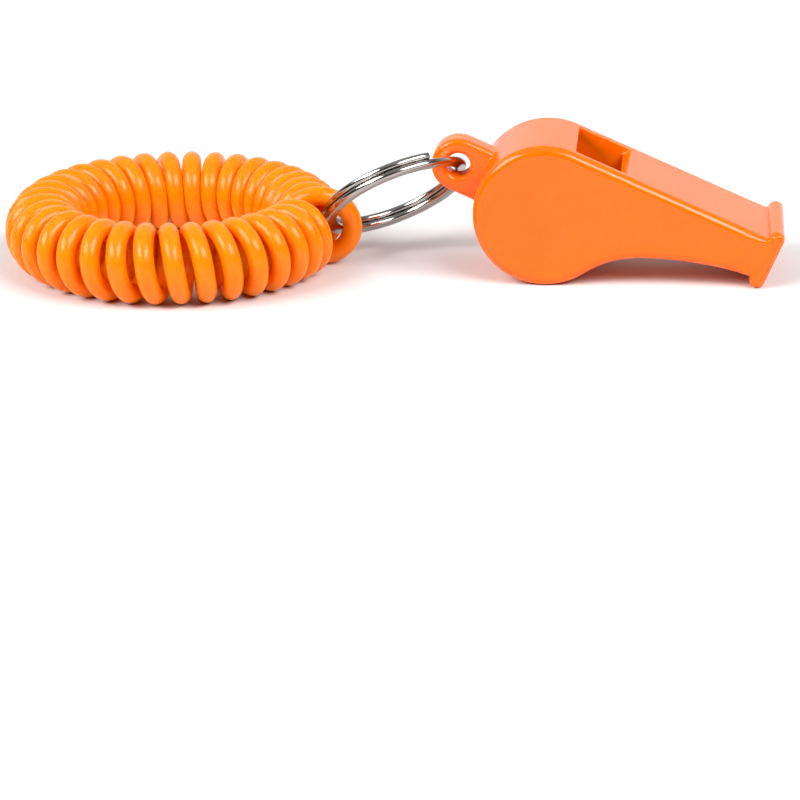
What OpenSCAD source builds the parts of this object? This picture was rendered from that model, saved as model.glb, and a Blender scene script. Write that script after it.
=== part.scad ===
// Pea whistle with a wrist coil. Standing on z = 0, mouth towards +X, width along Y.
// The whistle leans on its drum and on the lip under its mouth, the split ring hangs
// from the lug behind the drum, and the wrist coil lies flat with one turn on the ring.

/* [Whistle] */
// Outside diameter of the round drum
drum_d = 23; // [22:0.5:25]
// Width of the whistle, side face to side face
whistle_w = 19.6; // [18:0.2:22]
// Distance from the drum's axis to the face of the mouth, along the roof
barrel_l = 36.5; // [34:0.5:38]
// Thickness of the moulded walls
wall = 1.4; // [1.2:0.1:1.6]
// Thickness of the welded side cover
cover_t = 1.2; // [1:0.1:1.4]

/* [Windway and window] */
// Width of the windway and of the window in the roof
windway_w = 15.2; // [13:0.2:16]
// Length of the window along the roof
window_l = 9.4; // [8.6:0.2:10]
// Height of the slit that blows across the window
slit_h = 1.8; // [1.4:0.1:2.2]
// Height of the mouth's opening behind its bevel
mouth_h = 4.4; // [4:0.1:4.8]

/* [Lip round the mouth] */
// Thickness of the lip along the barrel, which is also its rounding
lip_t = 2.6; // [2:0.1:3]
// Height of the lip above the roof
lip_rise = 1.65; // [1.2:0.05:1.8]
// Drop of the lip below the barrel's underside
lip_drop = 1.6; // [1.4:0.1:2]

/* [Lug] */
// Thickness of the lug along the width
lug_t = 4.8; // [4:0.1:5]
// Radius of the lug's round end
lug_r = 4.35; // [4.2:0.05:5]
// Diameter of the hole through the lug
lug_hole_d = 4.2; // [4.2:0.1:4.6]

/* [Pea] */
// Diameter of the loose ball in the drum
pea_d = 11; // [10.5:0.5:12]

/* [Split ring] */
// Outside diameter of the split ring
ring_d = 25; // [24:0.5:26]
// Width of the ring's wire, measured across the ring
wire_w = 2; // [1.8:0.1:2.1]
// Height of one layer of the ring's wire
wire_h = 1.14; // [1:0.02:1.16]
// Slope of the ring from the coil up to the lug
ring_slope = 27; // [26:0.5:28]
// Turn of the ring about its long direction, near side up
ring_roll = 30; // [28:1:32]

/* [Wrist coil] */
// Diameter of the plastic cord that the coil is wound from
cord_d = 3.2; // [2.8:0.1:3.2]
// Outside diameter of one turn of the cord
turn_d = 13; // [12.8:0.1:13.4]
// Radius of the circle that the turns follow round the wrist
coil_r = 21.7; // [21:0.1:23]
// Distance that the ring pulls its own turn out of the coil
turn_out = 2.3; // [1:0.1:2.5]

/* [Hidden] */
$fn = 96;

shell = [1, 0.5, 0.15];
steel = [0.78, 0.78, 0.8];
cork = [0.8, 0.62, 0.42];
cord = [1, 0.48, 0.02];
cut = 1;

// The whistle is drawn with its roof level and the drum's axis at the origin.
drum_r = drum_d / 2;
side_y = whistle_w / 2;
seam_y = side_y - cover_t;
chamber_r = drum_r - wall;
window_x = 0.4;
window_end = window_x + window_l;
window_bevel = 1.6;

// The underside leaves the drum along a tight hollow and reaches the mouth along a wide one.
tuck_r = 16;
tuck_dir = -32.4;
tuck_c = (drum_r + tuck_r) * [cos(tuck_dir), sin(tuck_dir)];
belly_r = 58.4;
belly_dir = 114;
belly_c = tuck_c - (belly_r - tuck_r) * [cos(belly_dir), sin(belly_dir)];
belly_join = tuck_c + tuck_r * [cos(belly_dir), sin(belly_dir)];
neck_z = belly_c.y + sqrt(pow(belly_r, 2) - pow(barrel_l - belly_c.x, 2));

lip_r = lip_t / 2;
lip_x = barrel_l - lip_r;
lip_top = drum_r + lip_rise - lip_r;
lip_bottom = neck_z - lip_drop + lip_r;
lip_bevel = 1.7;
ramp_t = 1.2;
floor_z = chamber_r - mouth_h;
ramp_end = window_end + ramp_t;

lug_reach = drum_r + 4;
lug_chamfer = 0.9;
hole_r = lug_hole_d / 2;

// Leaning on the drum and on the lip, the roof slopes down to the mouth by this angle.
lean = atan2(lip_bottom, lip_x) + asin((drum_r - lip_r) / norm([lip_x, lip_bottom]));

// The ring's middle circle, and the point of it that sits in the lug.
ring_r = (ring_d - wire_w) / 2;
layer_gap = 0.06;
layer_pitch = wire_h + layer_gap;
ring_seat = -0.2;
ring_end_angle = 48;
ring_step = 6;
ring_u = [cos(ring_slope), 0, sin(ring_slope)];
ring_v = [-sin(ring_slope) * sin(ring_roll), -cos(ring_roll), cos(ring_slope) * sin(ring_roll)];
ring_n = [-sin(ring_slope) * cos(ring_roll), sin(ring_roll), cos(ring_slope) * cos(ring_roll)];

// The origin is under the middle of the whistle and its ring.
mouth_reach = lip_x * cos(lean) + lip_top * sin(lean) + lip_r;
lug_back = lug_reach * cos(lean);
ring_back = (ring_r - ring_seat) * ring_u.x + (ring_d / 2) * norm([ring_u.x, ring_v.x]);
drum_x = (lug_back + ring_back - mouth_reach) / 2;
lug_c = [drum_x - lug_back, 0, drum_r + lug_reach * sin(lean)];
ring_c = lug_c - (ring_r - ring_seat) * ring_u;

// The turn on the ring: its wire is outside the ring, pulled up against it.
cord_r = cord_d / 2;
turn_r = turn_d / 2;
loop_r = turn_r - cord_r;
ring_far = ring_c - ring_r * ring_u;
turn_pull = loop_r - cord_r - wire_w / 2 - 1;
coil_gap = 26;
coil_c = [ring_far.x - turn_pull - turn_out - coil_r, 0, turn_r];

// Pea resting at the bottom of the chamber.
pea_r = pea_d / 2;
pea_clearance = 0.2;
pea_c = [drum_x, 0, drum_r - (chamber_r - pea_r - pea_clearance)];

// A flat outline in X and Z, given thickness from one Y to another.
module slab(y_low, y_high) {
    translate([0, y_high, 0]) rotate([90, 0, 0]) linear_extrude(height = y_high - y_low) children();
}

// From the whistle's own drawing position to how it leans on the table.
module leaning() {
    translate([drum_x, 0, drum_r]) rotate([0, lean, 0]) children();
}

// Side view of the barrel, drawn too deep and cut back by the two hollows below it.
module barrel_outline() {
    depth = drum_r - neck_z + 2;
    difference() {
        polygon([[0, 0], [0, drum_r], [barrel_l - lip_r, drum_r],
            [barrel_l - lip_r, drum_r - depth], tuck_c]);
        translate(tuck_c) circle(r = tuck_r);
        intersection() {
            translate(belly_c) circle(r = belly_r);
            translate(belly_join - [0, belly_r]) square([barrel_l, 2 * belly_r]);
        }
    }
}

// Side view of the lip: a plate with a round top and bottom edge.
module lip_outline() {
    translate([lip_x, lip_top]) circle(r = lip_r);
    translate([lip_x, lip_bottom]) circle(r = lip_r);
    translate([lip_x - lip_r, lip_bottom]) square([lip_t, lip_top - lip_bottom]);
}

module whistle_outline() {
    circle(r = drum_r);
    barrel_outline();
    lip_outline();
}

module lug_outline() {
    translate([-lug_reach, 0]) circle(r = lug_r);
    translate([-lug_reach, -lug_r + 0.2]) square([lug_reach - chamber_r, 2 * lug_r - 0.4]);
}

// Air path from the bevelled mouth up to the slit behind the window.
module windway_outline() {
    polygon([
        [barrel_l + cut, chamber_r],
        [barrel_l + cut, floor_z - lip_bevel - cut],
        [barrel_l - lip_bevel, floor_z],
        [ramp_end, chamber_r - slit_h],
        [window_end - window_bevel, chamber_r - slit_h],
        [window_end - window_bevel, chamber_r]
    ]);
}

// Window through the roof: square behind, bevelled at the end of the windway's roof.
// Below it the drum's chamber is open as far as the end of the windway's floor.
module window_outline() {
    polygon([
        [window_x, drum_r + cut],
        [window_x, chamber_r - cut],
        [window_end, sqrt(pow(chamber_r, 2) - pow(window_end, 2))],
        [window_end, chamber_r - slit_h],
        [window_end - window_bevel, chamber_r],
        [window_end, drum_r],
        [window_end, drum_r + cut]
    ]);
}

// Cored-out space under the windway's floor, which the side cover closes.
module core_outline() {
    difference() {
        intersection() {
            barrel_outline();
            polygon([[ramp_end, -drum_r], [ramp_end, chamber_r - slit_h - ramp_t],
                [lip_x - lip_r - wall, floor_z - ramp_t], [lip_x - lip_r - wall, -drum_r]]);
        }
        circle(r = drum_r);
        translate(tuck_c) circle(r = tuck_r + wall);
        translate(belly_c) circle(r = belly_r + wall);
    }
}

// Hole for the split ring, opened out at both faces.
module lug_hole() {
    slab_half = lug_t / 2;
    translate([-lug_reach, 0, 0]) rotate([90, 0, 0]) {
        cylinder(h = lug_t + 2 * cut, r = hole_r, center = true);
        for (side = [-1, 1]) {
            translate([0, 0, side * (slab_half - lug_chamfer / 2 + cut / 2)])
                cylinder(h = lug_chamfer + cut, center = true,
                    r1 = hole_r + (side < 0 ? lug_chamfer + cut : 0),
                    r2 = hole_r + (side > 0 ? lug_chamfer + cut : 0));
        }
    }
}

// One moulding: near side wall, drum, roof, windway floor, lip and lug.
module whistle_body() {
    color(shell) leaning() difference() {
        union() {
            slab(-side_y, seam_y) whistle_outline();
            slab(-lug_t / 2, lug_t / 2) lug_outline();
        }
        slab(-side_y + cover_t, seam_y + cut) circle(r = chamber_r);
        slab(-side_y + cover_t, seam_y + cut) core_outline();
        slab(-windway_w / 2, windway_w / 2) windway_outline();
        slab(-windway_w / 2, windway_w / 2) window_outline();
        lug_hole();
    }
}

// The far side wall, welded on, with a raised disc that centres it in the drum.
module side_cover() {
    disc_h = max(0.4, seam_y - windway_w / 2);
    disc_clearance = 0.05;
    color(shell) leaning() {
        slab(seam_y, side_y) whistle_outline();
        slab(seam_y - disc_h, seam_y) circle(r = chamber_r - disc_clearance);
    }
}

module pea() {
    color(cork) translate(pea_c) sphere(r = pea_r);
}

// Height of the wire above the ring's middle plane: upper layer, crossing in the lug, lower layer.
function smooth(t) = t * t * (3 - 2 * t);
function wire_layer(turned) =
    let (crossing = (turned - (360 - ring_end_angle)) / (2 * ring_end_angle))
    layer_pitch * (0.5 - smooth(min(1, max(0, crossing))));

// Section of the wire, flat sided with round edges, as [across the ring, along its axis].
wire_section = [[-1, -0.45], [-0.72, -1], [0.72, -1], [1, -0.45],
    [1, 0.45], [0.72, 1], [-0.72, 1], [-1, 0.45]];

function ring_point(turned, place) =
    let (across = ring_r + place.x * wire_w / 2, along = wire_layer(turned) + place.y * wire_h / 2)
    ring_c + across * (cos(turned) * ring_u + sin(turned) * ring_v) + along * ring_n;

// Two turns of flat wire, less the stretch beside the lug where only the crossing is left.
module split_ring() {
    sides = len(wire_section);
    stations = [ring_end_angle : ring_step : 720 - ring_end_angle];
    points = [for (turned = stations, place = wire_section) ring_point(turned, place)];
    last = len(points) - sides;
    skin = [for (ring = [0 : sides : last - sides], side = [0 : sides - 1])
        let (next = (side + 1) % sides)
        [ring + side, ring + sides + side, ring + sides + next, ring + next]];
    start_face = [for (side = [0 : sides - 1]) side];
    end_face = [for (side = [sides - 1 : -1 : 0]) last + side];
    color(steel) polyhedron(points = points, faces = concat([start_face], skin, [end_face]),
        convexity = 6);
}

// Outer shape of all the turns but the one on the ring and its neighbours.
module wrist_coil() {
    color(cord) translate(coil_c)
        rotate_extrude(angle = 360 - 2 * coil_gap, start = coil_gap)
            translate([coil_r, 0]) circle(r = turn_r);
}

// The turn that the ring passes through, and the cord that carries it to the turns beside it.
module ring_turn() {
    turn_x = coil_r + turn_out;
    color(cord) translate(coil_c) {
        translate([turn_x, 0, 0]) rotate([90, 0, 0])
            rotate_extrude() translate([loop_r, 0]) circle(r = cord_r);
        rotate_extrude(angle = 2 * coil_gap, start = -coil_gap)
            translate([turn_x - loop_r, 0]) circle(r = cord_r);
    }
}

whistle_body();
side_cover();
pea();
split_ring();
wrist_coil();
ring_turn();
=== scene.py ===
import math

import bpy
import bmesh
import numpy as np
from mathutils import Matrix, Quaternion, Vector


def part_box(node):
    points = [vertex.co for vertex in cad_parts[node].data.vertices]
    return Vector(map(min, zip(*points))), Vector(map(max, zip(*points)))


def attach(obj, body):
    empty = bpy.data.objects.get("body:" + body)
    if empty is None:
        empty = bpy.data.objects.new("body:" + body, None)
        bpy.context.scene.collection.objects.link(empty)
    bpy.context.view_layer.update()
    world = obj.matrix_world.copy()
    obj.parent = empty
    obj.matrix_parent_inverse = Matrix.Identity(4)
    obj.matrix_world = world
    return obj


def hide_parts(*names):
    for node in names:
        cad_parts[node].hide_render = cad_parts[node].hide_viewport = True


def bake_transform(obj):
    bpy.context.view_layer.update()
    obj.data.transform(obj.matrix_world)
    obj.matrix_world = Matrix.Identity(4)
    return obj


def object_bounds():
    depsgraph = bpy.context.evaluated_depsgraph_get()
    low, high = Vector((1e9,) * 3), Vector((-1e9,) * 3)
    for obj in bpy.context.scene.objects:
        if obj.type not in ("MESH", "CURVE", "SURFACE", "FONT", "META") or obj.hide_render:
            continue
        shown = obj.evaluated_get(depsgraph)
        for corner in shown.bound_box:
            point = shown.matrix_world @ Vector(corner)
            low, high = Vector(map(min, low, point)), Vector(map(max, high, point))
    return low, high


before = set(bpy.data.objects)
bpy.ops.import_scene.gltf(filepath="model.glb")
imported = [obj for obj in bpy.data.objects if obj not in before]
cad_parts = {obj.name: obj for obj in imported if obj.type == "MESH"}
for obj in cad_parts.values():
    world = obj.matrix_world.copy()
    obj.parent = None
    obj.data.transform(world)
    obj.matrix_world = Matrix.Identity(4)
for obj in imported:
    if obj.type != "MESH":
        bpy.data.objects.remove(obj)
cad_lo, cad_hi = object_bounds()

MM = 0.001  # shapes are worked out in millimetres and made in metres

# ---------------------------------------------------------------- sizes in millimetres
# They are part.scad's, but WINDOW_BEVEL, LUG_HOLE_R, RING_END, COIL_R and TURN_OUT differ a little from it.
DRUM_R = 11.5
SIDE_Y = 9.8
COVER_T = 1.2
WALL = 1.4
BARREL_L = 36.5
CHAMBER_R = DRUM_R - WALL
WINDWAY_HALF = 7.6
WINDOW_X0, WINDOW_X1, WINDOW_BEVEL = 0.4, 9.8, 1.15
SLIT_H, RAMP_T, MOUTH_H, LIP_BEVEL = 1.8, 1.2, 4.4, 1.7
LIP_R, LIP_RISE, LIP_DROP = 1.3, 1.65, 1.6
LUG_T, LUG_R, LUG_HOLE_R, LUG_REACH = 4.8, 4.35, 1.95, DRUM_R + 4
TUCK_R, TUCK_DIR, BELLY_R, BELLY_DIR = 16.0, -32.4, 58.4, 114.0
WIRE_W, WIRE_H, LAYER_GAP = 2.0, 1.14, 0.06
RING_OUTSIDE = 25.0
RING_R = (RING_OUTSIDE - WIRE_W) / 2
RING_SLOPE, RING_ROLL, RING_SEAT, RING_END = 27.0, 30.0, -0.2, 42.0
CORD_R, LOOP_R, COIL_R, TURN_OUT = 1.6, 4.9, 21.3, 2.35


def polar(r, degrees):
    a = math.radians(degrees)
    return np.array([r * math.cos(a), r * math.sin(a)])


TUCK_C = polar(DRUM_R + TUCK_R, TUCK_DIR)
BELLY_C = TUCK_C - polar(BELLY_R - TUCK_R, BELLY_DIR)


def belly_z(x, r=BELLY_R):
    return BELLY_C[1] + math.sqrt(r * r - (x - BELLY_C[0]) ** 2)


NECK_Z = belly_z(BARREL_L)
LIP_X = BARREL_L - LIP_R
LIP_TOP = DRUM_R + LIP_RISE - LIP_R
LIP_BOTTOM = NECK_Z - LIP_DROP + LIP_R
LEAN = math.atan2(LIP_BOTTOM, LIP_X) + math.asin((DRUM_R - LIP_R) / math.hypot(LIP_X, LIP_BOTTOM))

# ---------------------------------------------------------------- places, from the CAD frame
pea_lo, pea_hi = (np.array(v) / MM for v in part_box("pea"))
DRUM_X = (pea_lo[0] + pea_hi[0]) / 2
coil_lo, coil_hi = (np.array(v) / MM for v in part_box("wrist_coil"))
COIL_C = np.array([coil_lo[0] + COIL_R + LOOP_R + CORD_R, 0.0, LOOP_R + CORD_R])
LUG_C = np.array([DRUM_X - LUG_REACH * math.cos(LEAN), 0.0, DRUM_R + LUG_REACH * math.sin(LEAN)])


def ring_axes():
    """Unit directions along the ring, across it and out of its plane, from its slope and its roll."""
    slope, roll = math.radians(RING_SLOPE), math.radians(RING_ROLL)
    along = [math.cos(slope), 0, math.sin(slope)]
    across = [-math.sin(slope) * math.sin(roll), -math.cos(roll), math.cos(slope) * math.sin(roll)]
    out = [-math.sin(slope) * math.cos(roll), math.sin(roll), math.cos(slope) * math.cos(roll)]
    return np.array(along), np.array(across), np.array(out)


RING_U, RING_V, RING_N = ring_axes()
RING_C = LUG_C - (RING_R - RING_SEAT) * RING_U


# ---------------------------------------------------------------- mesh helpers
def smooth(t):
    """0 to 1 with a soft start and a soft end."""
    t = min(1.0, max(0.0, t))
    return t * t * (3 - 2 * t)


def new_object(name, verts, faces):
    mesh = bpy.data.meshes.new(name)
    mesh.from_pydata([tuple(v) for v in verts], [], faces)
    bm = bmesh.new()
    bm.from_mesh(mesh)
    bmesh.ops.recalc_face_normals(bm, faces=bm.faces)
    bm.to_mesh(mesh)
    bm.free()
    o = bpy.data.objects.new(name, mesh)
    bpy.context.scene.collection.objects.link(o)
    return o


def loft(name, rings):
    """A closed solid through rings of the same number of points."""
    n = len(rings[0])
    verts = [p for ring in rings for p in ring]
    faces = [tuple(range(n))]
    for k in range(len(rings) - 1):
        for i in range(n):
            j = (i + 1) % n
            faces.append((k * n + i, k * n + j, (k + 1) * n + j, (k + 1) * n + i))
    faces.append(tuple(range((len(rings) - 1) * n, len(rings) * n)))
    return new_object(name, verts, faces)


def combine(target, tool, operation):
    """target with tool cut away or added, both in millimetres."""
    m = target.modifiers.new("combine", "BOOLEAN")
    m.object, m.operation, m.solver = tool, operation, "MANIFOLD"
    dg = bpy.context.evaluated_depsgraph_get()
    mesh = bpy.data.meshes.new_from_object(target.evaluated_get(dg))
    target.modifiers.clear()
    old = target.data
    target.data = mesh
    bpy.data.meshes.remove(old)
    bpy.data.objects.remove(tool)
    return target


def arc(cx, cz, r, a0, a1, steps, outward=1):
    """Points of an arc as (x, z, normal x, normal z). outward is -1 on a hollow."""
    out = []
    for k in range(steps + 1):
        a = math.radians(a0 + (a1 - a0) * k / steps)
        c, s = math.cos(a), math.sin(a)
        out.append((cx + r * c, cz + r * s, outward * c, outward * s))
    return out


def line(x0, z0, x1, z1, nx, nz, steps=1):
    """Points of a straight line as (x, z, normal x, normal z)."""
    return [(x0 + (x1 - x0) * k / steps, z0 + (z1 - z0) * k / steps, nx, nz) for k in range(steps + 1)]


def merged(points):
    """The outline without points that fall on the one before, whose normal becomes the mean of both."""
    same = 1e-3
    kept = []
    for p in points:
        if not kept or math.hypot(p[0] - kept[-1][0], p[1] - kept[-1][1]) > same:
            kept.append(p)
        else:
            q = kept[-1]
            nx, nz = p[2] + q[2], p[3] + q[3]
            long = math.hypot(nx, nz)
            kept[-1] = (q[0], q[1], nx / long, nz / long)
    if math.hypot(kept[0][0] - kept[-1][0], kept[0][1] - kept[-1][1]) < same:
        kept.pop()
    return kept


def side_loft(name, outline, levels, edge=lambda x: 1.0):
    """A solid from an X-Z outline with normals, through levels of (y, inset), the inset scaled by edge(x)."""
    rings = []
    for y, inset in levels:
        ring = []
        for x, z, nx, nz in outline:
            ring.append((x - nx * inset * edge(x), y, z - nz * inset * edge(x)))
        rings.append(ring)
    return loft(name, rings)


def disc_ring(r, y, sides=96, x=0.0):
    """Points of a circle round the Y direction."""
    angles = np.linspace(0, 2 * math.pi, sides, endpoint=False)
    return [(x + r * math.cos(t), y, r * math.sin(t)) for t in angles]


def round_edge(y_face, y_inner, r, steps=7):
    """Levels of (y, inset) of an edge rounding, from the flat face inwards."""
    sign = 1 if y_inner > y_face else -1
    levels = [(y_face, r + 0.25)]
    for k in range(steps + 1):
        a = math.radians(90 - 90 * k / steps)
        levels.append((y_face + sign * r * (1 - math.sin(a)), r * (1 - math.cos(a))))
    return levels


def rounded_box_ring(x0, x1, y0, y1, r, steps=4):
    """Corner-rounded rectangle, as (a, b) points."""
    out = []
    corners = ((x1 - r, y1 - r, 0), (x0 + r, y1 - r, 90), (x0 + r, y0 + r, 180), (x1 - r, y0 + r, 270))
    for cx, cy, start in corners:
        for k in range(steps + 1):
            a = math.radians(start + 90 * k / steps)
            out.append((cx + r * math.cos(a), cy + r * math.sin(a)))
    return out


# ---------------------------------------------------------------- whistle
LIP_FILLET = 0.3
PASSAGE_CORNER = 0.45  # of the window and the windway


def whistle_outline():
    """Side view of drum, roof, lip and underside, clockwise from the underside of the drum."""
    back = LIP_X - LIP_R
    neck = belly_z(back)
    a_lip = math.degrees(math.atan2(neck - BELLY_C[1], back - BELLY_C[0]))
    points = arc(0, 0, DRUM_R, TUCK_DIR, -270, 96)
    points += line(0, DRUM_R, back - LIP_FILLET, DRUM_R, 0, 1, 12)
    points += arc(back - LIP_FILLET, DRUM_R + LIP_FILLET, LIP_FILLET, -90, 0, 4, -1)
    points += arc(LIP_X, LIP_TOP, LIP_R, 180, 0, 20)
    points += line(BARREL_L, LIP_TOP, BARREL_L, LIP_BOTTOM, 1, 0, 3)
    points += arc(LIP_X, LIP_BOTTOM, LIP_R, 0, -180, 20)
    points += line(back, LIP_BOTTOM, back, neck - 0.02, -1, 0)
    points += arc(BELLY_C[0], BELLY_C[1], BELLY_R, a_lip, BELLY_DIR, 30, -1)
    points += arc(TUCK_C[0], TUCK_C[1], TUCK_R, BELLY_DIR, TUCK_DIR + 180, 14, -1)
    return merged(points)


def lip_edge(x):
    """The edge rounding gets smaller on the thin lip."""
    return 1 - 0.45 * smooth((x - (LIP_X - LIP_R - 3.5)) / 3.2)


def lug_outline():
    """Side view of the lug, with hollow fillets where it leaves the drum."""
    flare = 1.1
    meet_z = LUG_R + flare
    meet_x = -math.sqrt((DRUM_R + flare) ** 2 - meet_z**2)
    touch = math.degrees(math.atan2(meet_z, meet_x))
    inside = polar(DRUM_R - 0.4, touch)
    points = [(-CHAMBER_R + 1.5, inside[1], 0, 1)]
    points += arc(meet_x, meet_z, flare, touch - 180, -90, 8, -1)
    points += arc(-LUG_REACH, 0, LUG_R, 90, 270, 40)
    upper = arc(meet_x, meet_z, flare, touch - 180, -90, 8, -1)
    points += [(x, -z, nx, -nz) for x, z, nx, nz in reversed(upper)]
    points += [(-CHAMBER_R + 1.5, -inside[1], 0, -1)]
    return merged(points)


def lug_collar():
    """The fillet between the lug's flat sides and the drum."""
    f = 0.55
    rings = []
    for d in (-0.4, 0.03, 0.06, 0.12, 0.2, 0.3, 0.42, 0.53):
        grow = f - math.sqrt(max(0, f * f - (f - max(d, 0.03)) ** 2))
        half_z, half_y = LUG_R - 0.45 + grow, LUG_T / 2 + grow
        ring = rounded_box_ring(-half_z, half_z, -half_y, half_y, 0.7 + grow)
        rings.append([(-math.sqrt((DRUM_R + d) ** 2 - z * z), y, z) for z, y in ring])
    return loft("collar", rings)


def lug_hole_cutter():
    """The lug's hole, with rounded rims."""
    r = 0.8
    levels = [(-LUG_T / 2 - 0.4, LUG_HOLE_R + 1.4)]
    for k in range(9):
        a = math.radians(80 - 10 * k)
        levels.append((-LUG_T / 2 + r - r * math.sin(a), LUG_HOLE_R + r * (1 - math.cos(a))))
    levels += [(-y, radius) for y, radius in reversed(levels)]
    return loft("hole", [disc_ring(radius, y, 48, -LUG_REACH) for y, radius in levels])


def window_cutter():
    """The window in the roof, square behind and bevelled at the windway's end."""
    rings = []
    for z, x1, out in (
        (CHAMBER_R - 1.0, WINDOW_X1 - WINDOW_BEVEL, 0),
        (CHAMBER_R, WINDOW_X1 - WINDOW_BEVEL, 0),
        (CHAMBER_R + 0.12, WINDOW_X1 - WINDOW_BEVEL + 0.02, 0),
        (DRUM_R - 0.25, WINDOW_X1 - 0.28, 0),
        (DRUM_R - 0.15, WINDOW_X1 - 0.17, 0.03),
        (DRUM_R - 0.06, WINDOW_X1 - 0.06, 0.1),
        (DRUM_R - 0.01, WINDOW_X1 + 0.05, 0.2),
        (DRUM_R + 0.4, WINDOW_X1 + 1.5, 1.9),
    ):
        ring = rounded_box_ring(WINDOW_X0 - out, x1, -WINDWAY_HALF - out, WINDWAY_HALF + out, PASSAGE_CORNER)
        rings.append([(x, y, z) for x, y in ring])
    return loft("window", rings)


def chamber_cutter():
    """The round chamber, with a rounded inside corner at the near wall."""
    y0 = -SIDE_Y + COVER_T
    levels = [(y0, CHAMBER_R - 0.5), (y0 + 0.15, CHAMBER_R - 0.15)]
    levels += [(y0 + 0.5, CHAMBER_R), (SIDE_Y, CHAMBER_R)]
    return loft("chamber", [disc_ring(r, y) for y, r in levels])


def prism(name, corners, y0, y1):
    """A solid from X-Z corners, from y0 to y1."""
    return loft(name, [[(x, y, z) for x, z in corners] for y in (y0, y1)])


def under_window_cutter():
    """Opens the chamber under the window as far as the end of the windway's floor."""
    low = math.sqrt(CHAMBER_R**2 - WINDOW_X1**2)
    corners = [
        (WINDOW_X0, CHAMBER_R - 0.6), (WINDOW_X0, CHAMBER_R - 2), (2.0, 0.0), (WINDOW_X1 - 0.6, 0.0),
        (WINDOW_X1, low), (WINDOW_X1, CHAMBER_R - SLIT_H - 0.05),
        (WINDOW_X1 - WINDOW_BEVEL - 0.1, CHAMBER_R - 0.6),
    ]
    return prism("under_window", corners, -WINDWAY_HALF, WINDWAY_HALF)


def windway_cutter():
    """Air path from the bevelled mouth up to the slit behind the window."""
    floor = CHAMBER_R - MOUTH_H
    ramp_x = WINDOW_X1 + RAMP_T
    slit = CHAMBER_R - SLIT_H
    rings = []
    for x, low, high, out in (
        (WINDOW_X1 - WINDOW_BEVEL - 0.3, slit, CHAMBER_R, 0),
        (ramp_x, slit, CHAMBER_R, 0),
        (BARREL_L - LIP_BEVEL, floor, CHAMBER_R, 0),
        (BARREL_L - 0.3, floor - LIP_BEVEL + 0.3, CHAMBER_R, 0),
        (BARREL_L - 0.12, floor - LIP_BEVEL + 0.12, CHAMBER_R + 0.06, 0.06),
        (BARREL_L, floor - LIP_BEVEL, CHAMBER_R + 0.25, 0.25),
        (BARREL_L + 0.5, floor - LIP_BEVEL - 0.5, CHAMBER_R + 1.6, 1.6),
    ):
        ring = rounded_box_ring(-WINDWAY_HALF - out, WINDWAY_HALF + out, low, high, PASSAGE_CORNER)
        rings.append([(x, y, z) for y, z in ring])
    return loft("windway", rings)


def core_cutter():
    """The cored-out space under the windway's floor, closed by the side cover."""
    floor = CHAMBER_R - MOUTH_H
    x0, x1 = WINDOW_X1 + RAMP_T, LIP_X - LIP_R - WALL
    z0, z1 = CHAMBER_R - SLIT_H - RAMP_T, floor - RAMP_T
    lower = []
    for x in np.linspace(x0 + 0.6, x1, 24):
        tuck = TUCK_C[1] + math.sqrt(max(0.0, (TUCK_R + WALL) ** 2 - (x - TUCK_C[0]) ** 2))
        lower.append((float(x), max(tuck if x < TUCK_C[0] + 4 else -99, belly_z(x, BELLY_R + WALL))))
    drum = []
    for z in np.linspace(lower[0][1], z0, 8):
        drum.append((max(x0, math.sqrt(max(0.0, DRUM_R**2 - z * z))), float(z)))
    corners = drum + [(x1, z1)] + lower[::-1]
    return prism("core", corners, -SIDE_Y + COVER_T, SIDE_Y)


def to_world(o):
    """From the whistle's own drawing place, in millimetres, to how it leans in the frame."""
    turn = Matrix.Rotation(LEAN, 4, "Y")
    o.data.transform(Matrix.Scale(MM, 4) @ Matrix.Translation((DRUM_X, 0, DRUM_R)) @ turn)


def shade(o, angle=38):
    """Smooth shading with true flats: sharp where faces meet at more than the angle."""
    for p in o.data.polygons:
        p.use_smooth = True
    o.data.set_sharp_from_angle(angle=math.radians(angle))
    m = o.modifiers.new("flats", "WEIGHTED_NORMAL")
    m.keep_sharp = True
    m.weight = 60
    dg = bpy.context.evaluated_depsgraph_get()
    mesh = bpy.data.meshes.new_from_object(o.evaluated_get(dg))
    o.modifiers.clear()
    o.data = mesh


SEAM_Y = SIDE_Y - COVER_T
NEAR_ROUND, FAR_ROUND, LUG_ROUND = 1.45, 1.1, 0.9
SEAM_CHAMFER, SEAM_GAP = 0.09, 0.01


CUTTERS = (
    chamber_cutter, core_cutter, windway_cutter, under_window_cutter, window_cutter, lug_hole_cutter)


def make_shell():
    """The body moulding: near side, walls, roof, lip and lug, with the air's way cut out."""
    levels = round_edge(-SIDE_Y, 0, NEAR_ROUND)
    levels += [(0.0, 0.0), (SEAM_Y - SEAM_CHAMFER, 0.0), (SEAM_Y, SEAM_CHAMFER)]
    shell = side_loft("whistle_shell", whistle_outline(), levels, lip_edge)
    lug_side = round_edge(-LUG_T / 2, 0, LUG_ROUND, 5)
    lug_levels = lug_side + [(-y, inset) for y, inset in reversed(lug_side)]
    combine(shell, side_loft("lug", lug_outline(), lug_levels), "UNION")
    combine(shell, lug_collar(), "UNION")
    for cutter in CUTTERS:
        combine(shell, cutter(), "DIFFERENCE")
    to_world(shell)
    shade(shell)
    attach(shell, "whistle")
    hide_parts("whistle_body")
    return shell


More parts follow.
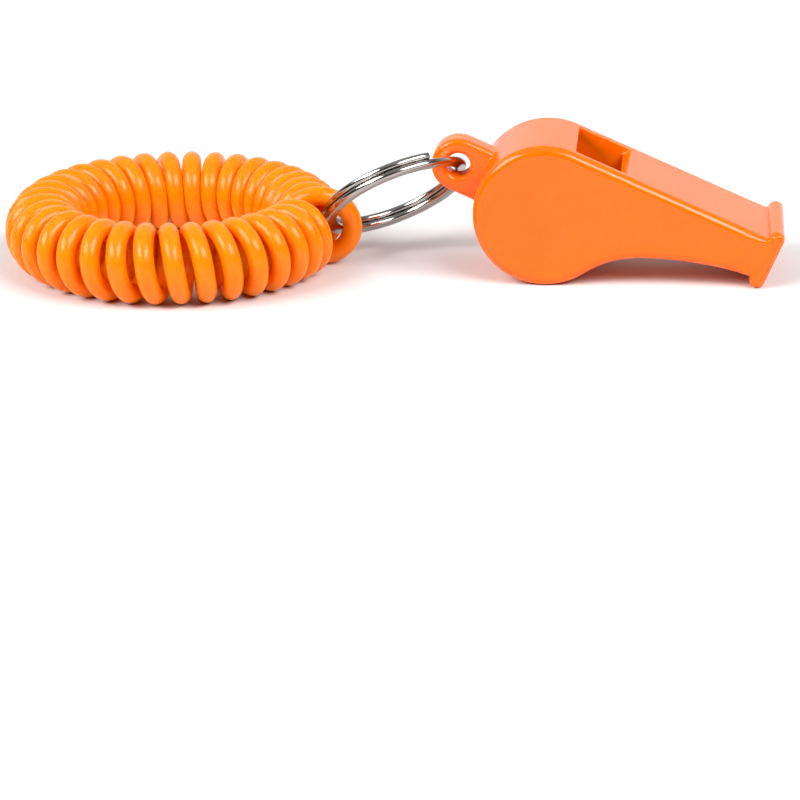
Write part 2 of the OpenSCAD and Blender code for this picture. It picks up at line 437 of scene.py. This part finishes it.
def make_cover():
    """The welded far side, with the raised disc that sits in the chamber."""
    levels = [(SEAM_Y + SEAM_GAP, SEAM_CHAMFER), (SEAM_Y + SEAM_GAP + SEAM_CHAMFER, 0.0)]
    levels += round_edge(SIDE_Y, 0, FAR_ROUND)[::-1]
    cover = side_loft("side_cover_skin", whistle_outline(), levels, lip_edge)
    disc_r = CHAMBER_R + 0.03
    combine(cover, loft("disc", [disc_ring(disc_r, y) for y in (WINDWAY_HALF, SEAM_Y + 0.1)]), "UNION")
    to_world(cover)
    shade(cover)
    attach(cover, "whistle")
    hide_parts("side_cover")
    return cover


# ---------------------------------------------------------------- split ring
def wire_ring(section, turned, layer, shrink):
    """The wire's section at an angle round the ring, in metres."""
    t = math.radians(turned)
    out = math.cos(t) * RING_U + math.sin(t) * RING_V
    points = []
    for a, b in section:
        points.append(tuple((RING_C + (RING_R + a * shrink) * out + (layer + b * shrink) * RING_N) * MM))
    return points


def make_split_ring():
    """Two turns of flat spring wire, less the stretch beside the lug where only the crossing is left."""
    section = []
    corner, crown_rise = 0.42, 0.06
    for a, b in rounded_box_ring(-WIRE_W / 2, WIRE_W / 2, -WIRE_H / 2, WIRE_H / 2, corner, 5):
        crown = crown_rise * (1 - (2 * b / WIRE_H) ** 2)
        section.append((a * (1 + crown / (WIRE_W / 2)) if abs(a) > 0.9 else a, b))
    pitch = WIRE_H + LAYER_GAP
    rings = []
    angles = np.arange(RING_END, 720 - RING_END + 0.01, 2.0)
    last = len(angles) - 1
    for k, turned in enumerate(angles):
        crossing = (turned - (360 - RING_END)) / (2 * RING_END)
        layer = pitch * (0.5 - smooth(crossing))
        shrink = 0.9 if k in (0, last) else 1.0  # the cut ends have broken edges
        rings.append(wire_ring(section, turned, layer, shrink))
        if k in (0, last - 1):
            rings.append(wire_ring(section, turned + (0.2 if k == 0 else 1.8), layer, 1.0))
    ring = loft("split_ring_wire", rings)
    shade(ring, 50)
    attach(ring, "ring")
    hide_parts("split_ring")
    return ring


# ---------------------------------------------------------------- wrist coil
TURNS = 35  # of which the one at angle 0 is on the ring
PER_TURN = 40
FIRST_TURN = 2.75  # where the closed route starts, in turns from the ring
NEAR_PUSH, FAR_PUSH = 7.8, 4.2  # degrees that the ring pushes its turn's neighbours away
PUSH_FADE = 2.2  # turns over which the push dies away
TURN_GROWTH = 0.4  # how much wider the ring pulls its own turn


def coil_route():
    """Closed centreline of the cord, a helix bent round into a circle with one turn pulled out by the
    ring, and the middle of the turn at each of its points."""
    pitch = 360 / TURNS
    points, middles = [], []
    n = TURNS * PER_TURN
    for k in range(n):
        turn = FIRST_TURN + TURNS * k / n
        from_ring = (turn + TURNS / 2) % TURNS - TURNS / 2
        phi = -2 * math.pi * turn
        outer = 0.5 + 0.5 * math.cos(phi)
        away = abs(from_ring)
        push = -NEAR_PUSH if from_ring < 0 else FAR_PUSH
        push *= smooth(away / 0.9) * math.exp(-max(0.0, away - 1) / PUSH_FADE)
        theta = math.radians(from_ring * pitch + push * (0.05 + 0.95 * outer))
        on_ring = 1 - smooth((away - 0.3) / 0.6)
        middle, loop_r = COIL_R + TURN_OUT * on_ring, LOOP_R + TURN_GROWTH * on_ring
        middle_z = TURN_GROWTH * on_ring
        rho = middle + loop_r * math.cos(phi)
        height = middle_z + loop_r * math.sin(phi)
        points.append(COIL_C + np.array([rho * math.cos(theta), rho * math.sin(theta), height]))
        middles.append(COIL_C + np.array([middle * math.cos(theta), middle * math.sin(theta), middle_z]))
    return np.array(points), np.array(middles)


def closed_tube(name, route, middles, radius, sides=24):
    """A round tube along a closed line. Its sides keep their place about the turns' middles."""
    n = len(route)
    verts, faces = [], []
    for k, point in enumerate(route):
        along = route[(k + 1) % n] - route[k - 1]
        along /= np.linalg.norm(along)
        across = point - middles[k]
        across -= along * across.dot(along)
        across /= np.linalg.norm(across)
        up = np.cross(along, across)
        for t in np.linspace(0, 2 * math.pi, sides, endpoint=False):
            verts.append(point + radius * (math.cos(t) * across + math.sin(t) * up))
        for i in range(sides):
            j = (i + 1) % sides
            after = (k + 1) % n
            faces.append((k * sides + i, k * sides + j, after * sides + j, after * sides + i))
    return new_object(name, verts, faces)


def make_coil():
    """One closed cord. Its turns near the ring follow the ring, and the coil bends beyond them."""
    route, middles = coil_route()
    route, middles = route * MM, middles * MM
    cord = closed_tube("wrist_cord", route, middles, CORD_R * MM)
    shade(cord, 60)
    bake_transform(cord)
    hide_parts("wrist_coil", "ring_turn")
    return cord


# ---------------------------------------------------------------- pea
def make_pea():
    """The loose ball inside the chamber."""
    bm = bmesh.new()
    bmesh.ops.create_icosphere(bm, subdivisions=5, radius=(pea_hi[0] - pea_lo[0]) / 2 * MM)
    mesh = bpy.data.meshes.new("pea_ball")
    bm.to_mesh(mesh)
    bm.free()
    mesh.transform(Matrix.Translation((pea_lo + pea_hi) / 2 * MM))
    for p in mesh.polygons:
        p.use_smooth = True
    o = bpy.data.objects.new("pea_ball", mesh)
    bpy.context.scene.collection.objects.link(o)
    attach(o, "pea_ball")
    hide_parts("pea")
    return o


# ---------------------------------------------------------------- materials
def new_material(name, **values):
    m = bpy.data.materials.new(name)
    m.use_nodes = True
    shader = m.node_tree.nodes["Principled BSDF"]
    for socket, value in values.items():
        shader.inputs[socket.replace("_", " ")].default_value = value
    return m, m.node_tree, shader


def noise(tree, scale, detail=2.0):
    coords = tree.nodes.new("ShaderNodeTexCoord")
    texture = tree.nodes.new("ShaderNodeTexNoise")
    texture.inputs["Scale"].default_value = scale
    texture.inputs["Detail"].default_value = detail
    tree.links.new(coords.outputs["Object"], texture.inputs["Vector"])
    return texture.outputs["Fac"]


def ramp(tree, factor, low, high, positions=(0.3, 0.7)):
    node = tree.nodes.new("ShaderNodeValToRGB")
    node.color_ramp.elements[0].color = (*low, 1)
    node.color_ramp.elements[1].color = (*high, 1)
    node.color_ramp.elements[0].position, node.color_ramp.elements[1].position = positions
    tree.links.new(factor, node.inputs["Fac"])
    return node.outputs["Color"]


def spread(tree, factor, low, high, start=0.0, end=1.0):
    node = tree.nodes.new("ShaderNodeMapRange")
    node.inputs["From Min"].default_value = start
    node.inputs["From Max"].default_value = end
    node.inputs["To Min"].default_value = low
    node.inputs["To Max"].default_value = high
    tree.links.new(factor, node.inputs["Value"])
    return node.outputs["Result"]


def bump(tree, shader, height, distance, strength):
    node = tree.nodes.new("ShaderNodeBump")
    node.inputs["Distance"].default_value = distance
    node.inputs["Strength"].default_value = strength
    tree.links.new(height, node.inputs["Height"])
    tree.links.new(node.outputs["Normal"], shader.inputs["Normal"])


def shell_material():
    """Glossy moulded ABS, slightly translucent, with the faint waviness of a moulding."""
    m, tree, shader = new_material(
        "shell_plastic", Subsurface_Weight=0.7, Subsurface_Scale=0.0024, IOR=1.4)
    shader.inputs["Subsurface Radius"].default_value = (1.0, 0.22, 0.05)
    color = ramp(tree, noise(tree, 60), (0.97, 0.135, 0.0003), (0.99, 0.146, 0.0006))
    tree.links.new(color, shader.inputs["Base Color"])
    tree.links.new(spread(tree, noise(tree, 900), 0.1, 0.15), shader.inputs["Roughness"])
    bump(tree, shader, noise(tree, 350), 0.00002, 0.25)
    return m


def cord_material():
    """Soft extruded plastic, satin gloss, with fine lines from the die."""
    m, tree, shader = new_material(
        "cord_plastic", Subsurface_Weight=0.85, Subsurface_Scale=0.0032, IOR=1.33)
    shader.inputs["Subsurface Radius"].default_value = (1.0, 0.3, 0.05)
    color = ramp(tree, noise(tree, 80), (0.98, 0.2, 0.0002), (0.99, 0.215, 0.0004))
    tree.links.new(color, shader.inputs["Base Color"])
    tree.links.new(spread(tree, noise(tree, 1200), 0.2, 0.25), shader.inputs["Roughness"])
    bump(tree, shader, noise(tree, 500), 0.00002, 0.2)
    return m


def steel_material():
    """Bright nickel plate with fine polishing marks."""
    m, tree, shader = new_material("plated_steel", Metallic=1.0)
    color = ramp(tree, noise(tree, 300), (0.4, 0.375, 0.355), (0.46, 0.435, 0.415))
    tree.links.new(color, shader.inputs["Base Color"])
    tree.links.new(spread(tree, noise(tree, 2500, 4), 0.1, 0.16), shader.inputs["Roughness"])
    bump(tree, shader, noise(tree, 900, 2), 0.000005, 0.15)
    return m


def cork_material():
    """Granulated cork: tan grains with darker pits."""
    m, tree, shader = new_material("cork", Roughness=0.85)
    coords = tree.nodes.new("ShaderNodeTexCoord")
    grain = tree.nodes.new("ShaderNodeTexVoronoi")
    grain.inputs["Scale"].default_value = 900
    tree.links.new(coords.outputs["Object"], grain.inputs["Vector"])
    color = ramp(tree, grain.outputs["Distance"], (0.5, 0.3, 0.14), (0.18, 0.08, 0.03), (0.2, 0.9))
    tree.links.new(color, shader.inputs["Base Color"])
    bump(tree, shader, grain.outputs["Distance"], -0.0001, 0.6)
    return m


def floor_material():
    """Plain pale studio floor."""
    m, tree, shader = new_material("studio_floor", Roughness=0.7)
    color = ramp(tree, noise(tree, 3), (0.7, 0.7, 0.7), (0.72, 0.72, 0.72))
    tree.links.new(color, shader.inputs["Base Color"])
    return m


# ---------------------------------------------------------------- studio
def make_camera():
    """Side view from slightly above, with the object in the upper half of the frame."""
    lens, distance, rise, yaw, pitch, tilt = 172.8, 0.6232, 16.02, 4.72, 19.02, -0.6
    centre = (cad_lo + cad_hi) / 2
    aim = Vector((centre.x + 0.0009, 0, centre.z))
    e, a, p = (math.radians(v) for v in (rise, yaw, pitch))
    cam = bpy.data.objects.new("camera", bpy.data.cameras.new("camera"))
    bpy.context.scene.collection.objects.link(cam)
    cam.data.lens = lens
    cam.data.sensor_width = 36
    cam.data.clip_start, cam.data.clip_end = 0.01, 20
    out = Vector((math.sin(a) * math.cos(e), -math.cos(a) * math.cos(e), math.sin(e)))
    cam.location = aim + distance * out
    back = Vector((math.sin(a) * math.cos(p), -math.cos(a) * math.cos(p), math.sin(p)))
    cam.rotation_mode = "QUATERNION"
    cam.rotation_quaternion = (-back).to_track_quat("-Z", "Y") @ Quaternion((0, 0, 1), math.radians(tilt))
    bpy.context.scene.camera = cam


def softbox(name, azimuth, elevation, distance, width, height, radiance):
    """A soft light panel aimed at the object. Azimuth 0 is the camera's side, 90 is +X."""
    a, e = math.radians(azimuth), math.radians(elevation)
    out = Vector((math.sin(a) * math.cos(e), -math.cos(a) * math.cos(e), math.sin(e)))
    data = bpy.data.lights.new(name, "AREA")
    data.shape, data.size, data.size_y = "RECTANGLE", width, height
    data.energy = radiance * math.pi * width * height
    o = bpy.data.objects.new(name, data)
    bpy.context.scene.collection.objects.link(o)
    o.location = (cad_lo + cad_hi) / 2 + distance * out
    o.rotation_mode = "QUATERNION"
    o.rotation_quaternion = (-out).to_track_quat("-Z", "Y")


def make_studio():
    """White surroundings behind, a darker room on the camera's side, two softboxes."""
    world = bpy.data.worlds.new("studio")
    bpy.context.scene.world = world
    world.use_nodes = True
    tree = world.node_tree
    background = tree.nodes["Background"]
    coords = tree.nodes.new("ShaderNodeTexCoord")
    split = tree.nodes.new("ShaderNodeSeparateXYZ")
    tree.links.new(coords.outputs["Generated"], split.inputs["Vector"])
    towards_back = spread(tree, split.outputs["Y"], 0.0, 1.0, -0.1, 0.6)
    low = spread(tree, split.outputs["Z"], 1.0, 0.0, 0.5, 0.85)
    both = tree.nodes.new("ShaderNodeMath")
    both.operation = "MULTIPLY"
    tree.links.new(towards_back, both.inputs[0])
    tree.links.new(low, both.inputs[1])
    overhead = spread(tree, split.outputs["Z"], 0.0, 0.45, 0.6, 0.95)
    brighter = tree.nodes.new("ShaderNodeMath")
    brighter.operation = "MAXIMUM"
    tree.links.new(both.outputs["Value"], brighter.inputs[0])
    tree.links.new(overhead, brighter.inputs[1])
    color = ramp(tree, brighter.outputs["Value"], (0.05, 0.05, 0.05), (1.0, 1.0, 1.0), (0.0, 1.0))
    tree.links.new(color, background.inputs["Color"])
    background.inputs["Strength"].default_value = 0.95
    softbox("left_light", -54, 38, 1.5, 1.1, 0.65, 11.5)
    softbox("right_light", 50, 43, 1.5, 1.1, 0.65, 11.5)
    half = 6.0
    corners = [(-half, -half, 0), (half, -half, 0), (half, half, 0), (-half, half, 0)]
    floor = new_object("studio_floor", corners, [(0, 1, 2, 3)])
    floor.data.materials.append(floor_material())
    bpy.context.scene.view_settings.view_transform = "Standard"


make_camera()
coil = make_coil()
shell = make_shell()
cover = make_cover()
ring = make_split_ring()
pea = make_pea()
coil.data.materials.append(cord_material())
plastic = shell_material()
shell.data.materials.clear()
cover.data.materials.clear()
shell.data.materials.append(plastic)
cover.data.materials.append(plastic)
ring.data.materials.append(steel_material())
pea.data.materials.append(cork_material())
make_studio()
